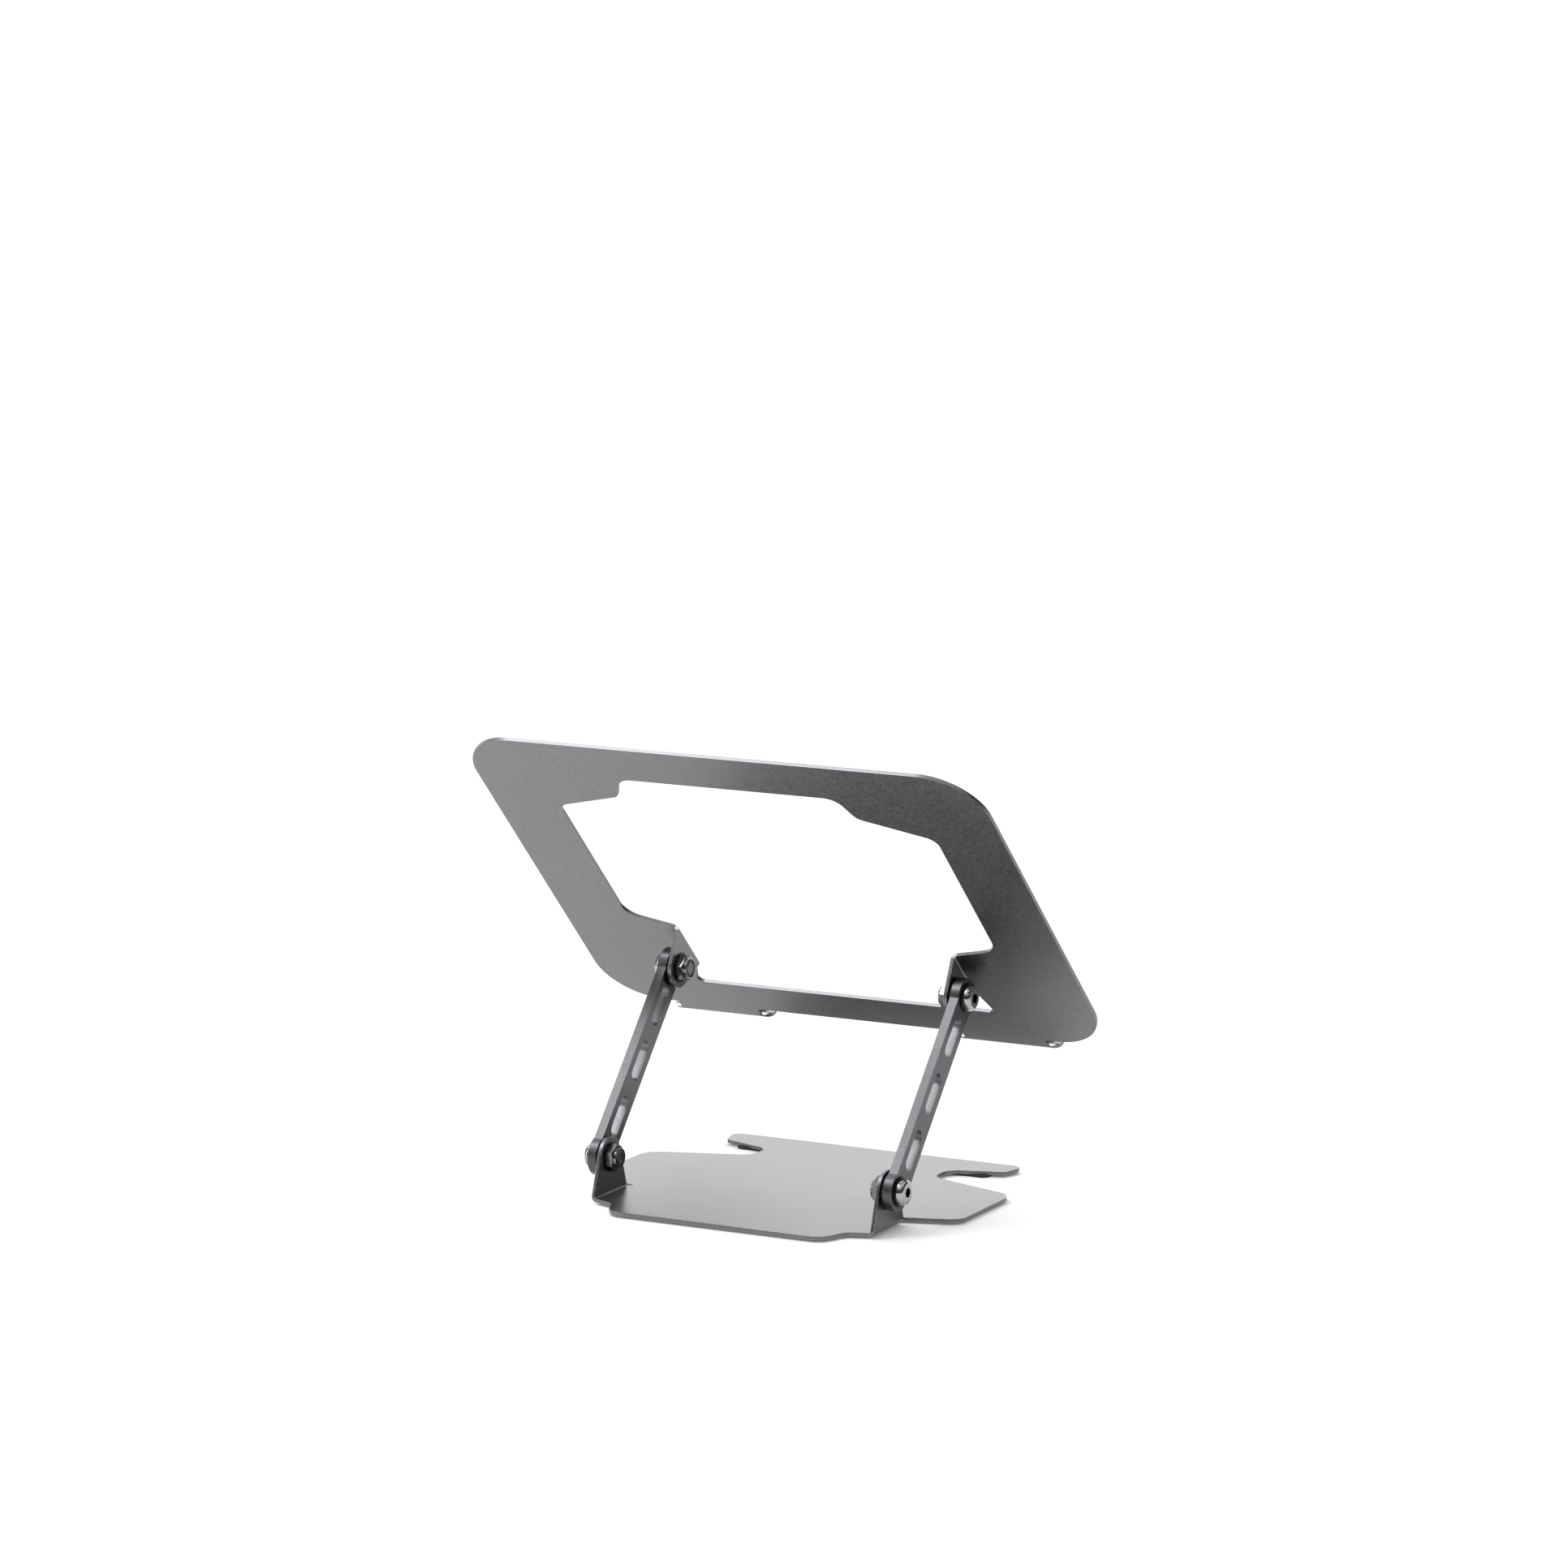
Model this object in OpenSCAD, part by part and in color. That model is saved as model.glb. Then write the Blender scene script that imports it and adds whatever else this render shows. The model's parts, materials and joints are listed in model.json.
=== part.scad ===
// Folding laptop stand of bent sheet: a base plate, two slotted arms and a framed top plate,
// joined by four clamped friction pivots. It stands on the desk at z = 0 with the centre of its
// base plate over the origin. The user sits at -Y, and the hinge side of the laptop is at +Y.

/* [Sheet] */
// Thickness of the base plate and the top plate
sheet = 2; // [1.5:0.1:3]
// Inner radius of the bends at the foot of each ear
bend_r = 1; // [0.5:0.1:2]
// Gap all round between the base plate and the cut-out of the top plate that nests over it
nest_gap = 0.7; // [0.4:0.1:2]
// Slant of the notch sides and of the edges that lead to the ears, in degrees
slant = 18; // [12:1:24]

/* [Base plate] */
// Width across the two wings
base_w = 220; // [190:1:264]
// Length of the prongs in front of the side notches
prong_len = 15.8; // [12:0.1:60]
// How far the tip of each prong reaches out past the foot of the upper ear
prong_flare = 4.6; // [2:0.1:8]
// Width of the straight rear edge, before its corners are rounded
rear_edge_w = 125; // [110:1:135]
// How far each rear corner steps sideways on its way to the ear
rear_step_w = 6.7; // [4:0.1:10]
// Distance from the rear edge to the lower pivots
low_pivot_y = 37.2; // [34:0.1:44]
// Height of the lower pivots above the upper face of the base plate
low_pivot_h = 19.1; // [15:0.1:24]
// How far each side notch reaches in from the foot of the ear that folds into it
notch_depth = 29.5; // [22:0.1:36]
// Room along the side of a notch before and behind the ear that folds into it
notch_room = 1.1; // [0.6:0.1:3]
// Width of the slit between each lower ear and its wing
slit_w = 3.2; // [2:0.1:5]

/* [Corners of the outlines] */
// Radius of the corners of the rear edge
rear_corner_r = 10; // [4:0.5:14]
// Radius of the inner corner of each rear step
step_corner_r = 7; // [3:0.5:10]
// Radius of the rear corner of each wing
wing_corner_r = 8; // [3:0.5:8.5]
// Radius of the front corner of each wing
wing_front_r = 12; // [3:0.5:12.5]
// Radius of the inner corners of the side notches
notch_r = 9; // [3:0.5:12]
// Radius at the root of each prong
prong_root_r = 2; // [1:0.5:3]
// Radius of the tip of each prong
prong_tip_r = 5; // [2:0.5:5.5]
// Radius of the front corners of the cut-out
cutout_corner_r = 3; // [1:0.5:5]

/* [Ears] */
// Distance between the inner faces of the two ears of a plate
ear_span = 162.6; // [140:0.2:196]
// Width of metal round the bolt hole at the tip of each ear
ear_rim = 7; // [5:0.1:9]
// Taper of the sides of the lower ears, in degrees
low_ear_taper = 17.8; // [10:0.1:24]
// Taper of the sides of the upper ears, in degrees
top_ear_taper = 20; // [10:0.1:24]

/* [Arms] */
// Distance between the two pivots of an arm
arm_len = 117.4; // [97:0.2:142]
// Thickness of an arm
arm_t = 5; // [3:0.1:8]
// Width of the shaft of an arm
arm_w = 17.1; // [14:0.1:20]
// Width of metal round the bolt holes of an arm
arm_rim = 6.3; // [5:0.1:7.5]
// Length of each slot in an arm
slot_len = 23.5; // [16:0.1:30]
// Width of each slot in an arm
slot_w = 8; // [4:0.1:10]
// Distance between the centres of neighbouring slots
slot_pitch = 34.2; // [26:0.1:38]
// Slope of the arms as the stand is set up, in degrees above the desk
arm_angle = 48.3; // [20:0.1:80]
// Slope of the arms when the stand is folded flat, in degrees above the desk
fold_angle = -4; // [-5:0.5:0]

/* [Top plate] */
// Width of the strip at each side of the cut-out
side_strip = 39.3; // [26:0.1:70]
// Radius of the corners of the top plate
top_corner_r = 32; // [10:1:45]
// Width of the strip behind the cut-out
rear_strip = 27.3; // [16:0.1:45]
// Width of the strip in front of the cut-out
front_strip = 22.5; // [14:0.1:45]
// Distance from the underside of the top plate down to the upper pivots
top_pivot_h = 14.2; // [12.5:0.1:20]
// Tilt of the top plate as the stand is set up, in degrees
tilt = 45; // [0:0.5:70]

/* [Lips] */
// Distance from the centre line to the middle of each lip
lip_x = 86.2; // [75:0.1:110]
// Width of the tongue that joins a lip to the top plate
lip_root_w = 48.8; // [30:0.2:70]
// How far a lip stands out past its tongue at each end
lip_ear_w = 6.4; // [4:0.2:14]
// Height of a lip above the upper face of the top plate
lip_h = 18; // [10:0.5:30]
// Length of the flat tongue in front of the top plate
lip_reach = 5.7; // [3:0.1:12]
// Inner radius of the bend of a lip
lip_bend_r = 2; // [1:0.1:4]
// Radius of the corners of a lip
lip_corner_r = 6; // [2:0.5:9]
// Height of the lower edge of a lip's free ends above the underside of the top plate
lip_clear = 0.4; // [0:0.1:3]

/* [Pivot hardware] */
// Diameter of the bolt shanks
bolt_d = 8; // [6:0.1:10]
// Chamfer at the end of a bolt
bolt_chamfer = 0.7; // [0.3:0.1:1.2]
// How far a bolt head reaches out round its shank
head_ring = 3; // [2:0.1:4]
// Height of the bolt heads
head_h = 3.6; // [2.5:0.1:5]
// Height of the straight rim of a bolt head, under its dome
head_rim_h = 0.8; // [0.4:0.1:1.5]
// Width of the flat ring between the socket and the dome of a bolt head
socket_ring = 1.45; // [0.6:0.05:2]
// Size of the hexagon socket across its flats
socket_af = 5; // [3:0.5:6]
// Depth of the hexagon socket
socket_depth = 2.4; // [1.5:0.1:3]
// How far the plain washers reach out round the bolt
washer_ring = 4; // [3:0.1:5]
// Thickness of the plain washers
washer_t = 0.55; // [0.4:0.05:1.5]
// How far the spring washer under a bolt head reaches out round the bolt
spring_ring = 3.5; // [2.5:0.1:4.5]
// Thickness of the spring washer
spring_t = 0.55; // [0.4:0.05:1.5]
// How far the friction washer between an ear and an arm reaches out round the bolt
friction_ring = 5; // [3:0.1:5.5]
// Thickness of the friction washer
friction_t = 1.3; // [0.8:0.1:3]
// Wall of the lock nuts, from the bolt to a flat
nut_wall = 2.5; // [2:0.1:3.5]
// Full height of the lock nuts, with their collars
nut_h = 5.7; // [5:0.1:9]
// Height of the round collar that holds the insert of a lock nut
collar_h = 1.7; // [1:0.1:3]
// Wall of the collar of a lock nut
collar_wall = 0.8; // [0.4:0.1:1]
// Wall of the insert of a lock nut, from the bolt to the collar
insert_wall = 0.7; // [0.4:0.1:1]
// How far the insert lies below the end of its collar
insert_set = 0.2; // [0:0.1:0.6]
// Radial clearance of a bolt that turns in a hole
run_gap = 0.05; // [0.02:0.01:0.1]
// Gap between two faces that slide past each other
face_gap = 0.05; // [0.02:0.01:0.2]
// Gap round a bolt in its nut and round an insert in its collar
grip_gap = 0.02; // [0.01:0.01:0.05]

/* [Pads and feet] */
// Thickness of the rubber feet under the base plate
foot_h = 1.2; // [0.6:0.1:4]
// Width of each rubber foot, front to back
foot_w = 14; // [10:0.5:24]
// Distance from an edge of the base plate to the nearest foot
foot_inset = 8; // [4:0.5:20]
// Radius of the corners of a foot
foot_corner_r = 4.5; // [1:0.5:4.5]
// Thickness of the silicone pads on the top plate
pad_t = 1.8; // [0.8:0.1:4]
// Distance from the long sides of a silicone pad to the edges of its strip
pad_margin = 8.65; // [4:0.05:10]
// Distance from the ends of a silicone pad to the front and rear edges of the top plate
pad_inset = 45; // [36:1:80]
// Radius of the corners of a silicone pad
pad_corner_r = 8; // [1:0.5:10]
// Thickness of the silicone pads inside the lips
lip_pad_t = 1; // [0.5:0.1:3]
// Distance from the ends of a lip to the ends of its pad
lip_pad_inset = 2; // [2:0.5:8]
// Distance from the upper edge of a lip to the upper edge of its pad
lip_pad_margin = 2; // [1:0.5:4]

/* [Hidden] */

metal = "#9b9da0";
metal_dark = "#7d7f82";
chrome = "#d9dadc";
dark_chrome = "#4a4b4d";
black = "#1b1b1c";
silicone = "#2b2c2e";
$fn = 72;
eps = 0.01;                                    // overlap that joins two solids
over = 1;                                      // how far a cut runs past the face it cuts
arc_step = 5;                                  // degrees between the points of a rounded corner
slit_round = 0.45;                             // rounding of a slit's end, as a share of its width
lip_pad_round = 0.4;                           // rounding of a lip's pad, as a share of its height

// Sizes of the hardware that follow from the bolt
bore_r = bolt_d / 2 + run_gap;
head_r = bolt_d / 2 + head_ring;
nut_flat_r = bolt_d / 2 + nut_wall;
insert_r = bolt_d / 2 + insert_wall;
collar_r = insert_r + collar_wall;
ear_r = bolt_d / 2 + ear_rim;
arm_end_r = bolt_d / 2 + arm_rim;

// Places along X, from the ear outwards
ear_in = ear_span / 2;
ear_out = ear_in + sheet;
arm_in = ear_out + friction_t + 2 * face_gap;
arm_out = arm_in + arm_t;
washer_x = arm_out + face_gap;
spring_x = washer_x + washer_t;
head_x = spring_x + spring_t;
nut_washer_x = ear_in - washer_t;
nut_x = nut_washer_x - nut_h;
low_bend_x = ear_in - bend_r;                  // where the base plate stops being flat
top_bend_x = ear_out + bend_r;                 // where the top plate starts being flat

// Places along the depth, counted forwards from the rear edge of the base plate. The cut-out
// of the top plate is counted the same way, because it lies round the base plate when folded.
fold_pivot_y = low_pivot_y + arm_len * cos(fold_angle);
low_root = ear_r / cos(low_ear_taper) + (low_pivot_h - bend_r) * tan(low_ear_taper);
top_root = ear_r / cos(top_ear_taper) + (top_pivot_h - bend_r) * tan(top_ear_taper);
wing_rear_y = low_pivot_y + low_root + slit_w;
notch_front_y = fold_pivot_y + top_root + 2 * notch_room;
base_d = notch_front_y + prong_len;
half_w = base_w / 2;
step_x = rear_edge_w / 2;
prong_x = top_bend_x + prong_flare;
notch_x = top_bend_x - notch_depth;

// The slanted edges, as depths at a distance x from the centre line
function rear_slant(x) = low_pivot_y - low_root + (x - low_bend_x) * tan(slant);
function wing_rear(x) = wing_rear_y + (x - low_bend_x) * tan(slant);
function notch_rear(x) = fold_pivot_y - top_root - notch_room - (x - top_bend_x) * tan(slant);
function notch_front(x) = notch_front_y + (x - top_bend_x) * tan(slant);

// Places of the two hinge axes
base_top = foot_h + sheet;
low_axis = [0, base_d / 2 - low_pivot_y, base_top + low_pivot_h];
top_axis = low_axis + arm_len * [0, -cos(arm_angle), sin(arm_angle)];

// Size of the top plate, and the distance from its pivots to its rear and front edges
top_w = base_w + 2 * (nest_gap + side_strip);
top_d = base_d + 2 * nest_gap + rear_strip + front_strip;
top_rear = fold_pivot_y + nest_gap + rear_strip;
top_front = top_d - top_rear;

// Helpers for outlines: a corner is [x, y, radius]
function unit(v) = v / norm(v);
function xy(p) = [p.x, p.y];
function turn(a, b) = a.x * b.y - a.y * b.x;
function arc(a, b, c, r) =
    let (u = unit(a - b), v = unit(c - b), half = acos(u * v) / 2)
    let (centre = b + unit(u + v) * r / sin(half), from = b + u * r / tan(half) - centre)
    let (sweep = (180 - 2 * half) * sign(turn(b - a, c - b)), n = ceil(abs(sweep) / arc_step))
    [for (i = [0:n]) let (w = sweep * i / n)
        centre + [from.x * cos(w) - from.y * sin(w), from.x * sin(w) + from.y * cos(w)]];
function rounded(p) =
    let (n = len(p))
    [for (i = [0:n - 1]) let (a = p[(i + n - 1) % n], c = p[(i + 1) % n])
        each (p[i][2] > 0 ? arc(xy(a), xy(p[i]), xy(c), p[i][2]) : [xy(p[i])])];
function grown(p, g) =
    let (n = len(p))
    [for (i = [0:n - 1])
        let (b = xy(p[i]), u = unit(b - xy(p[(i + n - 1) % n])), v = unit(xy(p[(i + 1) % n]) - b))
        let (m = [-u.y, u.x], k = [-v.y, v.x], at = b + g * (m + k) / (1 + m * k))
        [at.x, at.y, p[i][2]]];
function strip_outline(w, d, r) = rounded([
    [w / 2, d / 2, r], [w / 2, -d / 2, r], [-w / 2, -d / 2, r], [-w / 2, d / 2, r]
]);
// A right-hand half, listed from the rear to the front, becomes a closed outline
function both_sides(h) =
    concat(h, [for (i = [len(h) - 1:-1:0]) [-h[i].x, h[i].y, h[i][2]]]);

// Right-hand half of the base plate's outline, with Y counted backwards from its rear edge
base_half = [
    [step_x, 0, rear_corner_r],
    [step_x + rear_step_w, -rear_slant(step_x + rear_step_w), step_corner_r],
    [low_bend_x, -rear_slant(low_bend_x), 0],
    [low_bend_x, -(low_pivot_y + low_root), 0],
    [low_bend_x - slit_w / 2, -(low_pivot_y + low_root), slit_w * slit_round],
    [low_bend_x - slit_w / 2, -wing_rear(low_bend_x - slit_w / 2), slit_w * slit_round],
    [half_w, -wing_rear(half_w), wing_corner_r],
    [half_w, -notch_rear(half_w), wing_front_r],
    [notch_x, -notch_rear(notch_x), notch_r],
    [notch_x, -notch_front(notch_x), notch_r],
    [top_bend_x, -notch_front(top_bend_x), prong_root_r],
    [prong_x, -base_d, prong_tip_r]
];

// Right-hand half of the blank that the cut-out leaves, before the gap is added to it
cutout_half = [
    [step_x, 0, rear_corner_r],
    [step_x + rear_step_w, -rear_slant(step_x + rear_step_w), step_corner_r],
    [half_w, -rear_slant(half_w), wing_corner_r],
    [half_w, -notch_rear(half_w), wing_front_r],
    [top_bend_x - nest_gap, -notch_rear(top_bend_x), 0],
    [top_bend_x - nest_gap, notch_room - notch_front_y, 0],
    [prong_x, -base_d, cutout_corner_r]
];

// Outline of an ear, in [depth, height] about its pivot: a tapered root and a round tip
module ear_outline(taper, root, height) {
    tip = ear_r * [cos(taper), sin(taper)];
    union() {
        circle(r = ear_r);
        polygon([[-root, -height], [root, -height], tip, [-tip.x, tip.y]]);
    }
}

// An upright ear with its bend, about its pivot, standing on a sheet whose upper face lies
// at -height. Its inner face is at ear_in, and the bend turns towards the centre line.
module ear(taper, root, height) {
    difference() {
        union() {
            translate([ear_in, 0, 0]) rotate([90, 0, 90])
                linear_extrude(sheet) ear_outline(taper, root, height - bend_r);
            translate([low_bend_x, root, bend_r - height]) rotate([90, 0, 0])
                linear_extrude(2 * root) intersection() {
                    difference() {
                        circle(r = bend_r + sheet);
                        circle(r = bend_r);
                    }
                    translate([0, -bend_r - sheet]) square(bend_r + sheet);
                }
        }
        translate([ear_in - over, 0, 0]) rotate([0, 90, 0])
            cylinder(r = bore_r, h = sheet + 2 * over);
    }
}

module base_plate() {
    color(metal) {
        translate([0, base_d / 2, foot_h]) linear_extrude(sheet)
            polygon(rounded(both_sides(base_half)));
        for (side = [0, 1]) mirror([side, 0, 0])
            translate(low_axis) ear(low_ear_taper, low_root, low_pivot_h);
    }
}

// Rubber foot across the base plate, with its middle at depth y from the rear edge
module foot(y, length) {
    color(black) translate([0, base_d / 2 - y, 0]) linear_extrude(foot_h)
        polygon(strip_outline(length, foot_w, foot_corner_r));
}

module foot_rear() foot(foot_inset + foot_w / 2, rear_edge_w - 2 * foot_inset);
module foot_middle() foot(base_d / 2, base_w - 2 * foot_inset);
module foot_front() foot(base_d - foot_inset - foot_w / 2, 2 * top_bend_x - 2 * foot_inset);

// An arm as it lies when its slope is zero, with its lower pivot on the X axis
module flat_arm() {
    translate([arm_in, 0, 0]) rotate([90, 0, 90]) linear_extrude(arm_t) difference() {
        union() {
            for (y = [0, -arm_len]) translate([y, 0]) circle(r = arm_end_r);
            translate([-arm_len, -arm_w / 2]) square([arm_len, arm_w]);
        }
        for (y = [0, -arm_len]) translate([y, 0]) circle(r = bore_r);
        for (k = [-1:1]) translate([-arm_len / 2 + k * slot_pitch, 0]) slot();
    }
}

module slot() {
    run = slot_len - slot_w;
    for (side = [-1, 1]) translate([side * run / 2, 0]) circle(d = slot_w);
    square([run, slot_w], center = true);
}

module left_arm() {
    color(metal_dark) translate(low_axis) rotate([-arm_angle, 0, 0]) flat_arm();
}
module right_arm() mirror([1, 0, 0]) left_arm();

// Carries a piece drawn flat about the upper pivots to the tilt of the top plate
module tilted() {
    translate(top_axis) rotate([tilt, 0, 0]) children();
}

// Outline of the top plate seen from above, about its pivots, with the tongues of its lips
module top_outline() {
    difference() {
        union() {
            translate([0, top_rear - top_d / 2])
                polygon(strip_outline(top_w, top_d, top_corner_r));
            for (side = [-1, 1]) translate([side * lip_x, -top_front - lip_reach])
                translate([-lip_root_w / 2, 0]) square([lip_root_w, lip_reach + eps]);
        }
        translate([0, fold_pivot_y])
            polygon(rounded(grown(both_sides(cutout_half), nest_gap)));
    }
}

// A lip, bent up from the front of its tongue, with rounded corners at its free ends
module lip() {
    outer = lip_bend_r + sheet;
    wide = lip_root_w + 2 * lip_ear_w;
    tall = lip_h + sheet;
    intersection() {
        translate([0, -top_front - lip_reach, top_pivot_h]) rotate([90, 0, 90])
            translate([0, 0, lip_x - wide / 2]) linear_extrude(wide) union() {
                intersection() {
                    translate([0, outer]) difference() {
                        circle(r = outer);
                        circle(r = lip_bend_r);
                    }
                    translate([-outer, 0]) square(outer);
                }
                translate([-outer, outer]) square([sheet, tall - outer]);
            }
        translate([lip_x, 0, top_pivot_h]) rotate([90, 0, 0])
            linear_extrude(top_front + lip_reach + 2 * outer) union() {
                translate([-lip_root_w / 2, -over]) square([lip_root_w, tall / 2]);
                translate([0, (tall + lip_clear) / 2])
                    polygon(strip_outline(wide, tall - lip_clear, lip_corner_r));
            }
    }
}

module top_plate() {
    color(metal) tilted() {
        translate([0, 0, top_pivot_h]) linear_extrude(sheet) top_outline();
        for (side = [0, 1]) mirror([side, 0, 0]) {
            top_ear();
            lip();
        }
    }
}

// The upper ears hang down, and their bend turns away from the centre line
module top_ear() {
    translate([ear_in + ear_out, 0, 0]) rotate([0, 180, 0])
        ear(top_ear_taper, top_root, top_pivot_h);
}

// Silicone pad on the strip at each side of the cut-out
module left_pad() {
    strip_x = (top_w - side_strip) / 2;
    color(silicone) tilted()
        translate([strip_x, top_rear - top_d / 2, top_pivot_h + sheet]) linear_extrude(pad_t)
            polygon(strip_outline(side_strip - 2 * pad_margin, top_d - 2 * pad_inset, pad_corner_r));
}
module right_pad() mirror([1, 0, 0]) left_pad();

// Silicone pad on the inner face of a lip, clear of its bend
module left_lip_pad() {
    wide = lip_root_w + 2 * (lip_ear_w - lip_pad_inset);
    low = lip_bend_r + sheet + lip_clear;
    tall = lip_h + sheet - low - lip_pad_margin;
    color(silicone) tilted()
        translate([lip_x, -top_front - lip_reach - lip_bend_r + lip_pad_t, top_pivot_h + low])
            rotate([90, 0, 0]) linear_extrude(lip_pad_t) translate([0, tall / 2])
                polygon(strip_outline(wide, tall, tall * lip_pad_round));
}
module right_lip_pad() mirror([1, 0, 0]) left_lip_pad();

// Round pieces of a pivot, drawn along +X from x, about the X axis
module disc(x, r, t, hole_r) {
    translate([x, 0, 0]) rotate([0, 90, 0]) difference() {
        cylinder(r = r, h = t);
        translate([0, 0, -over]) cylinder(r = hole_r, h = t + 2 * over);
    }
}

// Button-head bolt with a hexagon socket; its chamfered end is flush with the nut
module bolt() {
    shank = head_x - nut_x;
    end_r = bolt_d / 2 - bolt_chamfer;
    flat_r = socket_af / 2 / cos(30) + socket_ring;
    dome = [head_r - flat_r, head_h - head_rim_h];
    color(chrome) translate([head_x, 0, 0]) rotate([0, 90, 0]) difference() {
        rotate_extrude() polygon(concat(
            [[0, -shank], [end_r, -shank], [bolt_d / 2, bolt_chamfer - shank], [bolt_d / 2, 0]],
            [[head_r, 0], [head_r, head_rim_h]],
            [for (a = [15:15:75]) [flat_r + dome.x * cos(a), head_rim_h + dome.y * sin(a)]],
            [[flat_r, head_h], [0, head_h]]
        ));
        translate([0, 0, head_h - socket_depth])
            cylinder(d = socket_af / cos(30), h = socket_depth + over, $fn = 6);
    }
}

// Lock nut: a chamfered hexagon with a rounded collar over a nylon insert
module nut() {
    hex_h = nut_h - collar_h;
    corner_r = nut_flat_r / cos(30);
    chamfer = (corner_r - nut_flat_r) * tan(30);
    soft = collar_wall * 0.3;
    color(dark_chrome) translate([nut_washer_x, 0, 0]) rotate([0, -90, 0]) difference() {
        union() {
            intersection() {
                cylinder(r = corner_r, h = hex_h, $fn = 6);
                rotate_extrude() polygon([
                    [0, 0], [nut_flat_r, 0], [corner_r, chamfer],
                    [corner_r, hex_h - chamfer], [nut_flat_r, hex_h], [0, hex_h]
                ]);
            }
            rotate_extrude() polygon([
                [0, hex_h - eps], [collar_r, hex_h - eps], [collar_r, nut_h - collar_wall],
                [collar_r - soft, nut_h - soft], [insert_r, nut_h], [0, nut_h]
            ]);
        }
        translate([0, 0, -over]) cylinder(r = bolt_d / 2 + grip_gap, h = nut_h + 2 * over);
        translate([0, 0, hex_h]) cylinder(r = insert_r, h = collar_h + over);
    }
}

module nut_insert() {
    color(black) disc(nut_x + insert_set, insert_r - grip_gap, collar_h - 2 * insert_set,
        bolt_d / 2 + grip_gap);
}

module washer() color(black) disc(washer_x, bolt_d / 2 + washer_ring, washer_t, bore_r);
module spring_washer()
    color(dark_chrome) disc(spring_x, bolt_d / 2 + spring_ring, spring_t, bore_r);
module friction_washer()
    color(black) disc(ear_out + face_gap, bolt_d / 2 + friction_ring, friction_t, bore_r);
module nut_washer() color(black) disc(nut_washer_x, bolt_d / 2 + washer_ring, washer_t, bore_r);

// One piece of a pivot's hardware, by its name without the place
module hardware(piece) {
    if (piece == "bolt") bolt();
    if (piece == "spring_washer") spring_washer();
    if (piece == "washer") washer();
    if (piece == "friction_washer") friction_washer();
    if (piece == "nut_washer") nut_washer();
    if (piece == "nut") nut();
    if (piece == "nut_insert") nut_insert();
}

module left_low(piece) translate(low_axis) hardware(piece);
module right_low(piece) mirror([1, 0, 0]) left_low(piece);
module left_top(piece) tilted() hardware(piece);
module right_top(piece) mirror([1, 0, 0]) left_top(piece);

base_plate();
foot_rear();
foot_middle();
foot_front();
left_arm();
right_arm();
top_plate();
left_pad();
right_pad();
left_lip_pad();
right_lip_pad();
left_low("bolt");  // left_low_bolt
left_low("spring_washer");  // left_low_spring_washer
left_low("washer");  // left_low_washer
left_low("friction_washer");  // left_low_friction_washer
left_low("nut_washer");  // left_low_nut_washer
left_low("nut");  // left_low_nut
left_low("nut_insert");  // left_low_nut_insert
right_low("bolt");  // right_low_bolt
right_low("spring_washer");  // right_low_spring_washer
right_low("washer");  // right_low_washer
right_low("friction_washer");  // right_low_friction_washer
right_low("nut_washer");  // right_low_nut_washer
right_low("nut");  // right_low_nut
right_low("nut_insert");  // right_low_nut_insert
left_top("bolt");  // left_top_bolt
left_top("spring_washer");  // left_top_spring_washer
left_top("washer");  // left_top_washer
left_top("friction_washer");  // left_top_friction_washer
left_top("nut_washer");  // left_top_nut_washer
left_top("nut");  // left_top_nut
left_top("nut_insert");  // left_top_nut_insert
right_top("bolt");  // right_top_bolt
right_top("spring_washer");  // right_top_spring_washer
right_top("washer");  // right_top_washer
right_top("friction_washer");  // right_top_friction_washer
right_top("nut_washer");  // right_top_nut_washer
right_top("nut");  // right_top_nut
right_top("nut_insert");  // right_top_nut_insert
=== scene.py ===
import json
import math

import bpy
from mathutils import Matrix, Vector


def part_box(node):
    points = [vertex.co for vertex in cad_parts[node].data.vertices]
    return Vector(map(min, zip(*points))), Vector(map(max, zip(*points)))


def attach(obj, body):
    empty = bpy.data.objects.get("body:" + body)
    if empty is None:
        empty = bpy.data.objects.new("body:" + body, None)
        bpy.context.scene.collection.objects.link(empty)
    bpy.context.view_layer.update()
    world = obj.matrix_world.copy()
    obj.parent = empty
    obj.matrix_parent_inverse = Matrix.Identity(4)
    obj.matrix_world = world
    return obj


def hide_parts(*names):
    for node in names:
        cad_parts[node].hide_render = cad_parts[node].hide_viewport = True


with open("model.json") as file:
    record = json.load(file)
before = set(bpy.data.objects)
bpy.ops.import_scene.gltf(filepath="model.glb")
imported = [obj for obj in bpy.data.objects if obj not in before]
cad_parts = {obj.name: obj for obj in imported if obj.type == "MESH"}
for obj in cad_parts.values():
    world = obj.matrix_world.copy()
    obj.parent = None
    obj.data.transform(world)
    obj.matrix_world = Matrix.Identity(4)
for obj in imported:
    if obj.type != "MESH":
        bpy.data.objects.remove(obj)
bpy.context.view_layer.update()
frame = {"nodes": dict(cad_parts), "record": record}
mm = 0.001


# ---- Base plate --------------------------------------------------------------------------
# One laser-cut blank of 2 mm aluminium sheet, with its two ears bent up on a press brake.
# It is deburred, bead-blasted and anodised space grey, so the corners of its cut edges are
# slightly rounded. The roundings are painted a little brighter than the faces, a painted highlight.

def alone(piece):
    """Selects one object and nothing else."""
    bpy.ops.object.select_all(action="DESELECT")
    piece.select_set(True)
    bpy.context.view_layer.objects.active = piece


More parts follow.
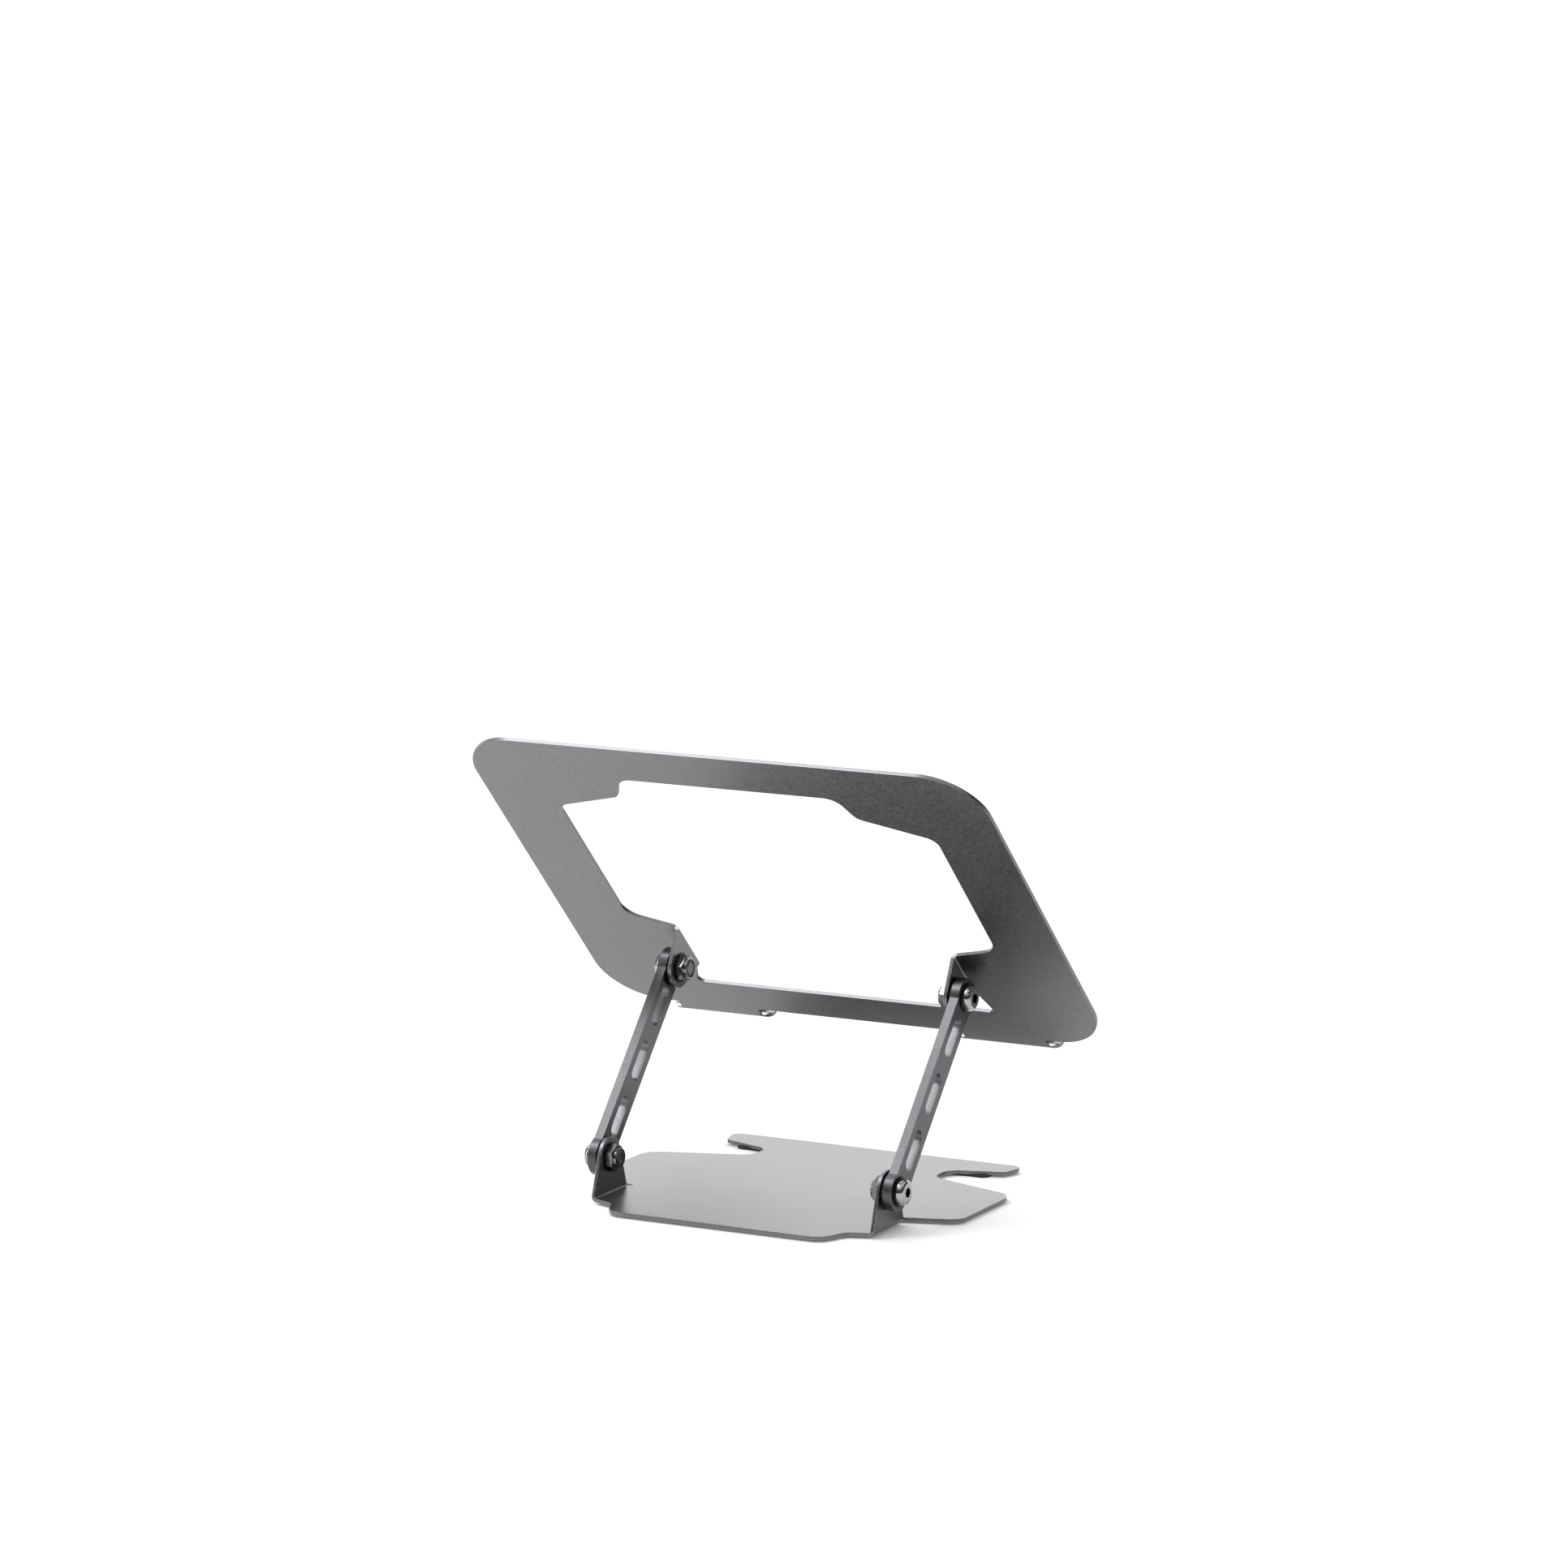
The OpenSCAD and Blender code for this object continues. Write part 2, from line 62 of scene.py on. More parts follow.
def merged_copy(node, name, weld=0.002):
    """A new piece with the shape of a CAD node, whose loose triangles are joined into faces."""
    piece = bpy.data.objects.new(name, frame["nodes"][node].data.copy())
    bpy.context.scene.collection.objects.link(piece)
    piece.data.name = name
    piece.data.materials.clear()
    alone(piece)
    bpy.ops.mesh.customdata_custom_splitnormals_clear()
    bpy.ops.object.mode_set(mode="EDIT")
    bpy.ops.mesh.select_mode(type="EDGE")
    bpy.ops.mesh.select_all(action="SELECT")
    bpy.ops.mesh.remove_doubles(threshold=weld * mm)
    bpy.ops.mesh.dissolve_limited(angle_limit=math.radians(0.5))
    bpy.ops.object.mode_set(mode="OBJECT")
    return piece


def soften_edges(piece, width, segments=2, painted_highlight=None, sharpest=40):
    """Rounds the sharp edges of a piece, and gives the roundings a material of their own: a lighter
    one, a painted highlight, where one is given.
    """
    alone(piece)
    bpy.ops.object.mode_set(mode="EDIT")
    bpy.ops.mesh.select_mode(type="EDGE")
    bpy.ops.mesh.select_all(action="DESELECT")
    bpy.ops.mesh.edges_select_sharp(sharpness=math.radians(sharpest))
    bpy.ops.mesh.bevel(offset=width * mm, segments=segments, affect="EDGES", clamp_overlap=True)
    # the roundings take the lighter material, a painted highlight along the edges
    if painted_highlight:
        bpy.ops.mesh.select_mode(type="FACE")
        piece.active_material_index = piece.data.materials.find(painted_highlight.name)
        bpy.ops.object.material_slot_assign()
    bpy.ops.object.mode_set(mode="OBJECT")


def smooth(piece, angle=35):
    """Smooth shading over roundings, with every flat face kept flat."""
    alone(piece)
    bpy.ops.object.shade_smooth_by_angle(angle=math.radians(angle))
    flat = piece.modifiers.new("flat faces", "WEIGHTED_NORMAL")
    flat.keep_sharp = True
    bpy.ops.object.modifier_apply(modifier=flat.name)


def hand_in(piece, body, slot, *nodes):
    """The piece rides on its body and stands for its CAD nodes, which are hidden. Its slot is not
    used.
    """
    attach(piece, body)
    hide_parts(*nodes)


def linear(colour):
    """An sRGB hex colour as linear red, green, blue and alpha."""
    parts = [int(colour[i:i + 2], 16) / 255 for i in (1, 3, 5)]
    return [c / 12.92 if c <= 0.04045 else ((c + 0.055) / 1.055) ** 2.4 for c in parts] + [1]


def add_node(material, kind, links=None, **settings):
    """Adds a node. A setting is one of its own or the name or number of an input, and links
    gives inputs their sources, each a node and the name or number of its output."""
    tree = material.node_tree
    node = tree.nodes.new("ShaderNode" + kind)
    for name, value in settings.items():
        if hasattr(node, name):
            setattr(node, name, value)
        else:
            key = int(name[1:]) if name[0] == "i" and name[1:].isdigit() else name.replace("_", " ")
            node.inputs[key].default_value = value
    for name, (source, output) in (links or {}).items():
        tree.links.new(source.outputs[output], node.inputs[name])
    return node


def new_material(name, metallic=0.0, roughness=0.5, **sockets):
    """An empty material with its surface shader, whose even values sit on its own sockets."""
    material = bpy.data.materials.new(name)
    material.use_nodes = True
    surface = material.node_tree.nodes["Principled BSDF"]
    surface.inputs["Metallic"].default_value = metallic
    surface.inputs["Roughness"].default_value = roughness
    for socket, value in sockets.items():
        surface.inputs[socket.replace("_", " ")].default_value = value
    return material, surface


# Bead-blasted anodised aluminium. The glass beads leave fine, even dimples, which make the
# metal satin: it mirrors nothing sharply and glitters slightly. The dye is a little cloudy.
# Real dimples are about 0.1 mm; they are drawn 0.8 mm wide so that they show.
def blasted_aluminium(name, dark, light, roughness, dimple=0.8, depth=0.02, cloud_w=45):
    material, surface = new_material(name, metallic=1.0, roughness=roughness)
    place = add_node(material, "TexCoord")
    cloud = add_node(material, "TexNoise", {"Vector": (place, "Object")},
                     Scale=1 / (cloud_w * mm), Detail=1, Roughness=0.5)
    grain = add_node(material, "TexNoise", {"Vector": (place, "Object")},
                     Scale=1 / (2 * dimple * mm), Detail=1, Roughness=0.5)
    cloudy = add_node(material, "Math", {0: (cloud, "Fac")}, operation="MULTIPLY", i1=0.2)
    both = add_node(material, "Math", {0: (cloudy, 0), 1: (grain, "Fac")}, operation="ADD")
    tint = add_node(material, "ValToRGB", {"Fac": (add_node(
        material, "MapRange", {"Value": (both, 0)}, From_Min=0.35, From_Max=0.85), 0)})
    tint.color_ramp.elements[0].color = linear(dark)
    tint.color_ramp.elements[1].color = linear(light)
    uneven = add_node(material, "MapRange", {"Value": (both, 0)}, From_Min=0.35, From_Max=0.85,
                      To_Min=roughness - 0.05, To_Max=roughness + 0.06)
    relief = add_node(material, "Bump", {"Height": (grain, "Fac")}, Strength=0.25,
                      Distance=depth * mm)
    links = material.node_tree.links
    links.new(tint.outputs["Color"], surface.inputs["Base Color"])
    links.new(uneven.outputs[0], surface.inputs["Roughness"])
    links.new(relief.outputs["Normal"], surface.inputs["Normal"])
    return material


sheet_metal = blasted_aluminium("bead-blasted aluminium, space grey", "#6A6B6D", "#797A7C", 0.35)
# the rounded edges of the sheets: the same metal painted lighter, as a painted highlight
sheet_edge_highlight = blasted_aluminium("aluminium edge, painted highlight", "#909193", "#9C9D9F", 0.28)
broken_edge = 0.28

base_plate = merged_copy("base_plate", "base_sheet")
base_plate.data.materials.append(sheet_metal)
base_plate.data.materials.append(sheet_edge_highlight)
soften_edges(base_plate, broken_edge, painted_highlight=sheet_edge_highlight)
smooth(base_plate)
hand_in(base_plate, "base", "base_plate", "base_plate")


# ---- Feet --------------------------------------------------------------------------------
# Three strips of black rubber, moulded with a raised rim and glued under the base. They keep
# the sheet off the desk and stop it sliding.

# Moulded rubber is matt and nearly black, with a slightly uneven, dusty skin. The grain of
# the skin is drawn coarser than the real one, 0.6 mm wide, so that it shows.
def moulded_rubber(name, dark, light, roughness, grain=0.6, dust_w=9):
    material, surface = new_material(name, roughness=roughness, IOR=1.52, Sheen_Weight=0.08)
    place = add_node(material, "TexCoord")
    skin = add_node(material, "TexNoise", {"Vector": (place, "Object")},
                    Scale=1 / (2 * grain * mm), Detail=4, Roughness=0.65)
    dust = add_node(material, "TexNoise", {"Vector": (place, "Object")},
                    Scale=1 / (dust_w * mm), Detail=4, Roughness=0.6)
    tint = add_node(material, "ValToRGB", {"Fac": (dust, "Fac")})
    tint.color_ramp.elements[0].position = 0.35
    tint.color_ramp.elements[0].color = linear(dark)
    tint.color_ramp.elements[1].position = 0.75
    tint.color_ramp.elements[1].color = linear(light)
    uneven = add_node(material, "MapRange", {"Value": (dust, "Fac")}, From_Min=0.3, From_Max=0.7,
                      To_Min=roughness - 0.07, To_Max=roughness + 0.08)
    relief = add_node(material, "Bump", {"Height": (skin, "Fac")}, Strength=0.35,
                      Distance=0.03 * mm)
    links = material.node_tree.links
    links.new(tint.outputs["Color"], surface.inputs["Base Color"])
    links.new(uneven.outputs[0], surface.inputs["Roughness"])
    links.new(relief.outputs["Normal"], surface.inputs["Normal"])
    return material


def select_faces(piece, wanted):
    """Selects the faces whose centre and normal pass a test, in edit mode."""
    bpy.ops.object.mode_set(mode="EDIT")
    bpy.ops.mesh.select_mode(type="FACE")
    bpy.ops.mesh.select_all(action="DESELECT")
    bpy.ops.object.mode_set(mode="OBJECT")
    for face in piece.data.polygons:
        face.select = wanted(face.center, face.normal)
    bpy.ops.object.mode_set(mode="EDIT")


foot_rubber = moulded_rubber("moulded black rubber", "#161617", "#232324", 0.72)
foot_rim_w = 1.6
foot_rim_h = 0.35
step_w = 0.3
for place in ("rear", "middle", "front"):
    foot = merged_copy("foot_" + place, "foot_strip_" + place)
    foot.data.materials.append(foot_rubber)
    # a raised rim runs round the face that stands on the desk
    select_faces(foot, lambda centre, normal: normal.z < -0.9)
    bpy.ops.mesh.inset(thickness=foot_rim_w * mm, depth=0)
    bpy.ops.mesh.inset(thickness=step_w * mm, depth=-foot_rim_h * mm)
    bpy.ops.object.mode_set(mode="OBJECT")
    soften_edges(foot, 0.2)
    smooth(foot)
    hand_in(foot, "base", "feet", "foot_" + place)


# ---- Arms --------------------------------------------------------------------------------
# Two flat bars of 5 mm aluminium with round eyes at both ends and three lightening slots.
# They are blasted and anodised like the plates, but their faces are painted darker, as painted
# shade.
# The broken edges are milled smoother and painted brighter, a painted highlight; the slot walls are
# drawn lighter and rougher than the faces.

# the faces of the bars: the plates' space grey painted darker, as painted shade
arm_metal_shaded = blasted_aluminium("bead-blasted aluminium bar, space grey, painted shade", "#515254", "#5B5C5E", 0.36)
# the rounded edges of the bars, painted brighter: a painted highlight
arm_edge_highlight = blasted_aluminium("milled aluminium edge, painted highlight", "#818284", "#8C8D8F", 0.26)
slot_metal = blasted_aluminium("aluminium slot wall, anodised", "#727375", "#7B7C7E", 0.42)
low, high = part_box("left_low_bolt")
foot_of_arm = (low + high) / 2
low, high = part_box("left_top_bolt")
along_arm = (low + high) / 2 - foot_of_arm
arm_length = along_arm.length
along_arm.normalize()
slot_reach = 4.5 * mm    # half the width of a slot, and a little more


def on_slot_wall(centre, normal):
    """True for a face of an arm's slots: close to the line of its pivots, but not in an eye."""
    run = (centre - foot_of_arm).dot(along_arm)
    aside = (centre - foot_of_arm - run * along_arm).yz.length
    between_eyes = 2 * slot_reach < run < arm_length - 2 * slot_reach
    return abs(normal.x) < 0.5 and aside < slot_reach and between_eyes


for side in ("left", "right"):
    arm = merged_copy(side + "_arm", side + "_bar")
    arm.data.materials.append(arm_metal_shaded)
    arm.data.materials.append(arm_edge_highlight)
    arm.data.materials.append(slot_metal)
    select_faces(arm, on_slot_wall)
    arm.active_material_index = 2
    bpy.ops.object.material_slot_assign()
    bpy.ops.object.mode_set(mode="OBJECT")
    soften_edges(arm, 0.45, segments=3, painted_highlight=arm_edge_highlight)
    smooth(arm)
    hand_in(arm, "arms", "arms", side + "_arm")


# ---- Top plate ---------------------------------------------------------------------------
# The frame that the laptop lies on: one blank of the same sheet, whose cut-out follows the
# outline of the base plate. Its ears are bent down and its two front lips are bent up.

top_plate = merged_copy("top_plate", "top_sheet", weld=0.08)
top_plate.data.materials.append(sheet_metal)
top_plate.data.materials.append(sheet_edge_highlight)
# its rounded edges take the painted highlight too
soften_edges(top_plate, broken_edge, painted_highlight=sheet_edge_highlight)
smooth(top_plate)
hand_in(top_plate, "top", "top_plate", "top_plate")


# ---- Pads --------------------------------------------------------------------------------
# Dark grey silicone strips glued along the sides of the top plate and inside its lips, so
# that the laptop neither slides nor touches metal. Their upper edges are moulded round.

pad_silicone = moulded_rubber("dark grey silicone", "#28292B", "#36373A", 0.60, grain=0.4)
mounts = {mount["name"]: mount for mount in frame["record"]["mounts"]}
tilt = Vector(mounts["laptop_rest_left"]["axis"])
lean = Vector(mounts["laptop_stop_left"]["axis"])
panel_h = 0.25
for side in ("left", "right"):
    for kind, up, rim in (("pad", tilt, 2.2), ("lip_pad", lean, 1.4)):
        node = side + "_" + kind
        pad = merged_copy(node, node + "_strip")
        pad.data.materials.append(pad_silicone)
        # a shallow panel is sunk inside the rim of the pad
        select_faces(pad, lambda centre, normal: normal.dot(up) > 0.9)
        bpy.ops.mesh.inset(thickness=rim * mm, depth=0)
        bpy.ops.mesh.inset(thickness=step_w * mm, depth=-panel_h * mm)
        bpy.ops.object.mode_set(mode="OBJECT")
        soften_edges(pad, 0.22, segments=3)
        smooth(pad)
        hand_in(pad, "top", "pads", node)


# ---- Bolts -------------------------------------------------------------------------------
# Four M8 button-head bolts, cold-headed from steel, with a hexagon socket, and plated with
# bright nickel. Each passes from outside through an arm and an ear into its lock nut.

def turned(name, profile, hollow=False, steps=96):
    """A round piece along +Z, drawn ring by ring as on a lathe. Each ring is a radius and a
    height in mm. The first and the last are closed with a flat face, or, where the piece is
    hollow, lie on each other and are joined."""
    bpy.ops.object.select_all(action="DESELECT")
    (r0, z0), *rest = profile
    bpy.ops.mesh.primitive_circle_add(vertices=steps, radius=r0 * mm,
                                      fill_type="NOTHING" if hollow else "NGON",
                                      location=(0, 0, z0 * mm))
    piece = bpy.context.object
    piece.name = piece.data.name = name
    bpy.ops.object.transform_apply()
    bpy.ops.object.mode_set(mode="EDIT")
    bpy.ops.mesh.select_mode(type="EDGE" if hollow else "FACE")
    for r, z in rest:
        bpy.ops.mesh.extrude_region_move(TRANSFORM_OT_translate={"value": (0, 0, (z - z0) * mm)})
        bpy.ops.transform.resize(value=(r / r0, r / r0, 1), center_override=(0, 0, z * mm))
        r0, z0 = r, z
    bpy.ops.mesh.select_all(action="SELECT")
    if hollow:
        bpy.ops.mesh.remove_doubles(threshold=0.002 * mm)
    bpy.ops.mesh.normals_make_consistent(inside=False)
    bpy.ops.object.mode_set(mode="OBJECT")
    return piece


def own_place(piece):
    """Keeps each point's place on the piece itself, for patterns that follow its turning."""
    kept = piece.data.attributes.new("own_place", "FLOAT_VECTOR", "POINT")
    for value, vertex in zip(kept.data, piece.data.vertices):
        value.vector = vertex.co


# The two hinge axes, as a place and a turn about X: the ears of the top plate lean with it
lean_turn = math.atan2(-tilt.y, tilt.z)
axes = {}
for level, turn in (("low", 0), ("top", lean_turn)):
    low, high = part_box("left_" + level + "_bolt")
    axes[level] = Vector((0, (low.y + high.y) / 2, (low.z + high.z) / 2)), turn
pivots = [(side, level) for level in ("low", "top") for side in ("left", "right")]


def at_pivots(piece, kind, slot, name, flip=False):
    """Copies a piece drawn along +Z to the four pivots, where +Z points outwards, each copy
    with a mesh of its own, and puts each copy on its body in place of its CAD node."""
    own_place(piece)
    smooth(piece)
    for side, level in pivots:
        node = side + "_" + level + "_" + kind
        low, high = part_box("left_" + level + "_" + kind)
        centre, turn = axes[level]
        outwards = Matrix.Rotation(math.pi / 2, 4, "Y")
        if flip:
            outwards = Matrix.Rotation(-math.pi / 2, 4, "Y")
        start = high.x if flip else low.x
        place = Matrix.Translation((start, 0, 0)) @ outwards
        if side == "right":
            place = Matrix.Rotation(math.pi, 4, "Z") @ place
        place = Matrix.Translation(centre) @ Matrix.Rotation(turn, 4, "X") @ place
        copy = bpy.data.objects.new(side + "_" + level + "_" + name, piece.data.copy())
        bpy.context.scene.collection.objects.link(copy)
        copy.data.transform(place)
        hand_in(copy, "base" if level == "low" else "upper_pivots", slot, node)
    bpy.data.objects.remove(piece)


# Bright nickel plate. Cold heading and plating leave it almost a mirror, with faint turned
# rings on the flat of the head and a few soft scuffs. The rings are drawn 0.35 mm apart, so
# that they show.
def plated_steel(name, dark, light, roughness, ring_w=0.35, depth=0.004, scuff_w=1.6):
    material, surface = new_material(name, metallic=1.0, roughness=roughness)
    place = add_node(material, "Attribute", attribute_name="own_place")
    flat = add_node(material, "VectorMath", {0: (place, "Vector")}, operation="MULTIPLY",
                    i1=(1, 1, 0))
    radius = add_node(material, "VectorMath", {0: (flat, 0)}, operation="LENGTH")
    rings = add_node(material, "TexNoise", {"W": (radius, "Value")}, noise_dimensions="1D",
                     Scale=1 / (ring_w * mm), Detail=2)
    scuffs = add_node(material, "TexNoise", {"Vector": (place, "Vector")},
                      Scale=1 / (scuff_w * mm), Detail=5, Roughness=0.7)
    tint = add_node(material, "ValToRGB", {"Fac": (scuffs, "Fac")})
    tint.color_ramp.elements[0].position = 0.3
    tint.color_ramp.elements[0].color = linear(dark)
    tint.color_ramp.elements[1].position = 0.6
    tint.color_ramp.elements[1].color = linear(light)
    uneven = add_node(material, "MapRange", {"Value": (scuffs, "Fac")}, From_Min=0.35,
                      From_Max=0.7, To_Min=roughness, To_Max=roughness + 0.09)
    relief = add_node(material, "Bump", {"Height": (rings, "Fac")}, Strength=0.3,
                      Distance=depth * mm)
    links = material.node_tree.links
    links.new(tint.outputs["Color"], surface.inputs["Base Color"])
    links.new(uneven.outputs[0], surface.inputs["Roughness"])
    links.new(relief.outputs["Normal"], surface.inputs["Normal"])
    return material


low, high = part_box("left_low_bolt")
bolt_long = (high.x - low.x) / mm
head_r = (high.z - low.z) / 2 / mm
head_h = 3.6
head_z = bolt_long - head_h
bolt_r = 4.0
flat_r = 4.35
rim_h = 0.8
dome = [(flat_r + (head_r - flat_r) * math.cos(a), head_z + rim_h + (head_h - rim_h) * math.sin(a))
        for a in (math.radians(8 * k) for k in range(1, 11))]
bolt = turned("bolt", [
    (1.4, 0.3), (2.6, 0.08), (bolt_r - 0.75, 0), (bolt_r - 0.65, 0.04), (bolt_r, 0.7),
    (bolt_r, head_z), (head_r - 0.12, head_z), (head_r, head_z + 0.12), (head_r, head_z + rim_h),
    *dome, (flat_r, bolt_long), (3.4, bolt_long),
])
bolt_plate = plated_steel("bright nickel plate", "#929395", "#ABACAE", 0.07)
# the socket is painted nearly black: mostly painted shade of the recess, partly its thinner plating
socket_shade_and_thin_plate = plated_steel("painted shade in the socket, on thinly plated steel", "#1E1E1F", "#2C2C2E", 0.30)
end_steel = plated_steel("dull plated bolt end", "#4E4F51", "#646567", 0.28)
bolt.data.materials.append(bolt_plate)
bolt.data.materials.append(socket_shade_and_thin_plate)
bolt.data.materials.append(end_steel)
# the socket is punched with a hexagon broach, over the cone that its drill leaves
socket_flats = 5
socket_deep = 2.4
broach_long = 4
cone_deep = 0.7
broach_r = socket_flats / 2 / math.cos(math.pi / 6)
broach_z = bolt_long - socket_deep + broach_long / 2
bpy.ops.object.select_all(action="DESELECT")
bpy.ops.mesh.primitive_cylinder_add(vertices=6, radius=broach_r * mm, depth=broach_long * mm,
                                    location=(0, 0, broach_z * mm))
broach = bpy.context.object
select_faces(broach, lambda centre, normal: normal.z < -0.9)
bpy.ops.mesh.inset(thickness=0.35 * mm, depth=0)
bpy.ops.mesh.inset(thickness=1.4 * mm, depth=cone_deep * mm)
bpy.ops.object.mode_set(mode="OBJECT")
alone(bolt)
socket = bolt.modifiers.new("socket", "BOOLEAN")
socket.operation = "DIFFERENCE"
socket.solver = "EXACT"
socket.object = broach
bpy.ops.object.modifier_apply(modifier=socket.name)
bpy.data.objects.remove(broach)
# the socket's faces take the painted shade
select_faces(bolt, lambda centre, normal: centre.xy.length < 3 * mm
             and bolt_long - 3 < centre.z / mm < bolt_long - 0.1)
bolt.active_material_index = 1
bpy.ops.object.material_slot_assign()
select_faces(bolt, lambda centre, normal: centre.z < 0.75 * mm)
bolt.active_material_index = 2
bpy.ops.object.material_slot_assign()
bpy.ops.object.mode_set(mode="OBJECT")
at_pivots(bolt, "bolt", "bolts", "button_bolt")


# ---- Spring washers ----------------------------------------------------------------------
# A split ring of flat spring-steel wire under each head, clamped flat, with its split showing
# at the rim. It is blackened by its heat treatment.

def ring_size(kind):
    """Outer radius and thickness of a ring-shaped CAD node, in mm."""
    low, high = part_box("left_low_" + kind)
    return (high.z - low.z) / 2 / mm, (high.x - low.x) / mm


spring_r, spring_t = ring_size("spring_washer")
spring_steel = plated_steel("blackened spring steel", "#3A3A3C", "#4C4C4E", 0.28, depth=0.008)
spring_inner = bolt_r + 0.1
split = 10
bpy.ops.object.select_all(action="DESELECT")
bpy.ops.mesh.primitive_plane_add(size=1, location=((spring_inner + spring_r) / 2 * mm, 0,
                                                   spring_t / 2 * mm))
spring = bpy.context.object
spring.name = spring.data.name = "spring_washer"
spring.rotation_euler.x = math.pi / 2
spring.scale = ((spring_r - spring_inner) * mm, spring_t * mm, 1)
bpy.ops.object.transform_apply()
bpy.ops.object.mode_set(mode="EDIT")
bpy.ops.mesh.select_all(action="SELECT")
bpy.ops.mesh.spin(steps=80, angle=math.radians(360 - split), center=(0, 0, 0), axis=(0, 0, 1))
bpy.ops.mesh.select_all(action="SELECT")
bpy.ops.mesh.remove_doubles(threshold=0.002 * mm)
bpy.ops.mesh.normals_make_consistent(inside=False)
bpy.ops.object.mode_set(mode="OBJECT")
spring.data.materials.append(spring_steel)
soften_edges(spring, 0.08, segments=1)
at_pivots(spring, "spring_washer", "spring_washers", "split_ring")


# ---- Plain washers -----------------------------------------------------------------------
# Thin stamped steel rings, blackened in hot salts: one between the spring washer and the arm
# and one between the nut and the ear. The clamped faces show fine turned lines.

def ring(name, inner, outer, thick, edge):
    """A flat ring along +Z from zero, with its four edges broken by edge, all in mm."""
    return turned(name, [
        (inner, edge), (inner + edge, 0), (outer - edge, 0), (outer, edge), (outer, thick - edge),
        (outer - edge, thick), (inner + edge, thick), (inner, thick - edge), (inner, edge),
    ], hollow=True)


black_steel = plated_steel("black oxide steel", "#1B1B1D", "#2A2A2C", 0.34, ring_w=0.5, depth=0.012)
washer_r, washer_t = ring_size("washer")
for kind, name, flip in (("washer", "plain_washer", False), ("nut_washer", "inner_washer", True)):
    washer = ring("washer", bolt_r + 0.05, washer_r, washer_t, 0.12)
    washer.data.materials.append(black_steel)
    at_pivots(washer, kind, "plain_washers", name, flip)


# ---- Friction washers --------------------------------------------------------------------
# Discs of black nylon squeezed between each ear and its arm. They give the pivots their even
# drag and fill the gap, which reads as a dark line between the two metals.

nylon = moulded_rubber("black nylon", "#0D0D0E", "#17171A", 0.50)
friction_r, friction_t = ring_size("friction_washer")
friction = ring("friction", bolt_r + 0.05, friction_r, friction_t, 0.25)
friction.data.materials.append(nylon)
at_pivots(friction, "friction_washer", "friction_washers", "friction_disc")


# ---- Lock nuts ---------------------------------------------------------------------------
# M8 lock nuts with both ends of the hexagon turned to a cone, and a rolled collar that holds
# a black nylon insert. Their nickel is the bolts' own, painted darker here as painted shade.

# the bolts' nickel painted darker: painted shade for the dim surroundings that it reflects
nut_plate_shaded = plated_steel("nickel plate, painted shade", "#606163", "#767779", 0.10)
for side, level in pivots:
    node = side + "_" + level + "_nut"
    nut = merged_copy(node, side + "_" + level + "_lock_nut")
    centre, turn = axes[level]
    kept = nut.data.attributes.new("own_place", "FLOAT_VECTOR", "POINT")
    for value, vertex in zip(kept.data, nut.data.vertices):
        value.vector = (vertex.co.y - centre.y, vertex.co.z - centre.z, vertex.co.x)
    nut.data.materials.append(nut_plate_shaded)
    soften_edges(nut, 0.12, sharpest=25)
    smooth(nut)
    hand_in(nut, "base" if level == "low" else "upper_pivots", "nuts", node)
insert_r, insert_t = ring_size("nut_insert")
insert = ring("insert", bolt_r + 0.02, insert_r, insert_t, 0.12)
insert.data.materials.append(nylon)
at_pivots(insert, "nut_insert", "nut_inserts", "nylon_insert", flip=True)


# ---- Floor and light ---------------------------------------------------------------------
# A white seamless floor under two soft lights, one high up and one upright, behind the stand
# and past its left arm. The studio round them is dim, with a bright ceiling and a bright wall
# in front of the stand, so that the metal takes a soft gradient.

bpy.ops.object.select_all(action="DESELECT")
bpy.ops.mesh.primitive_circle_add(vertices=96, radius=40, fill_type="NGON")
floor = bpy.context.object
floor.name = floor.data.name = "studio_floor"
floor_paint, _ = new_material("matt white studio floor", roughness=0.9,
                              Base_Color=linear("#F4F4F4"), Emission_Color=linear("#FFFFFF"),
                              Emission_Strength=0.12)
floor.data.materials.append(floor_paint)

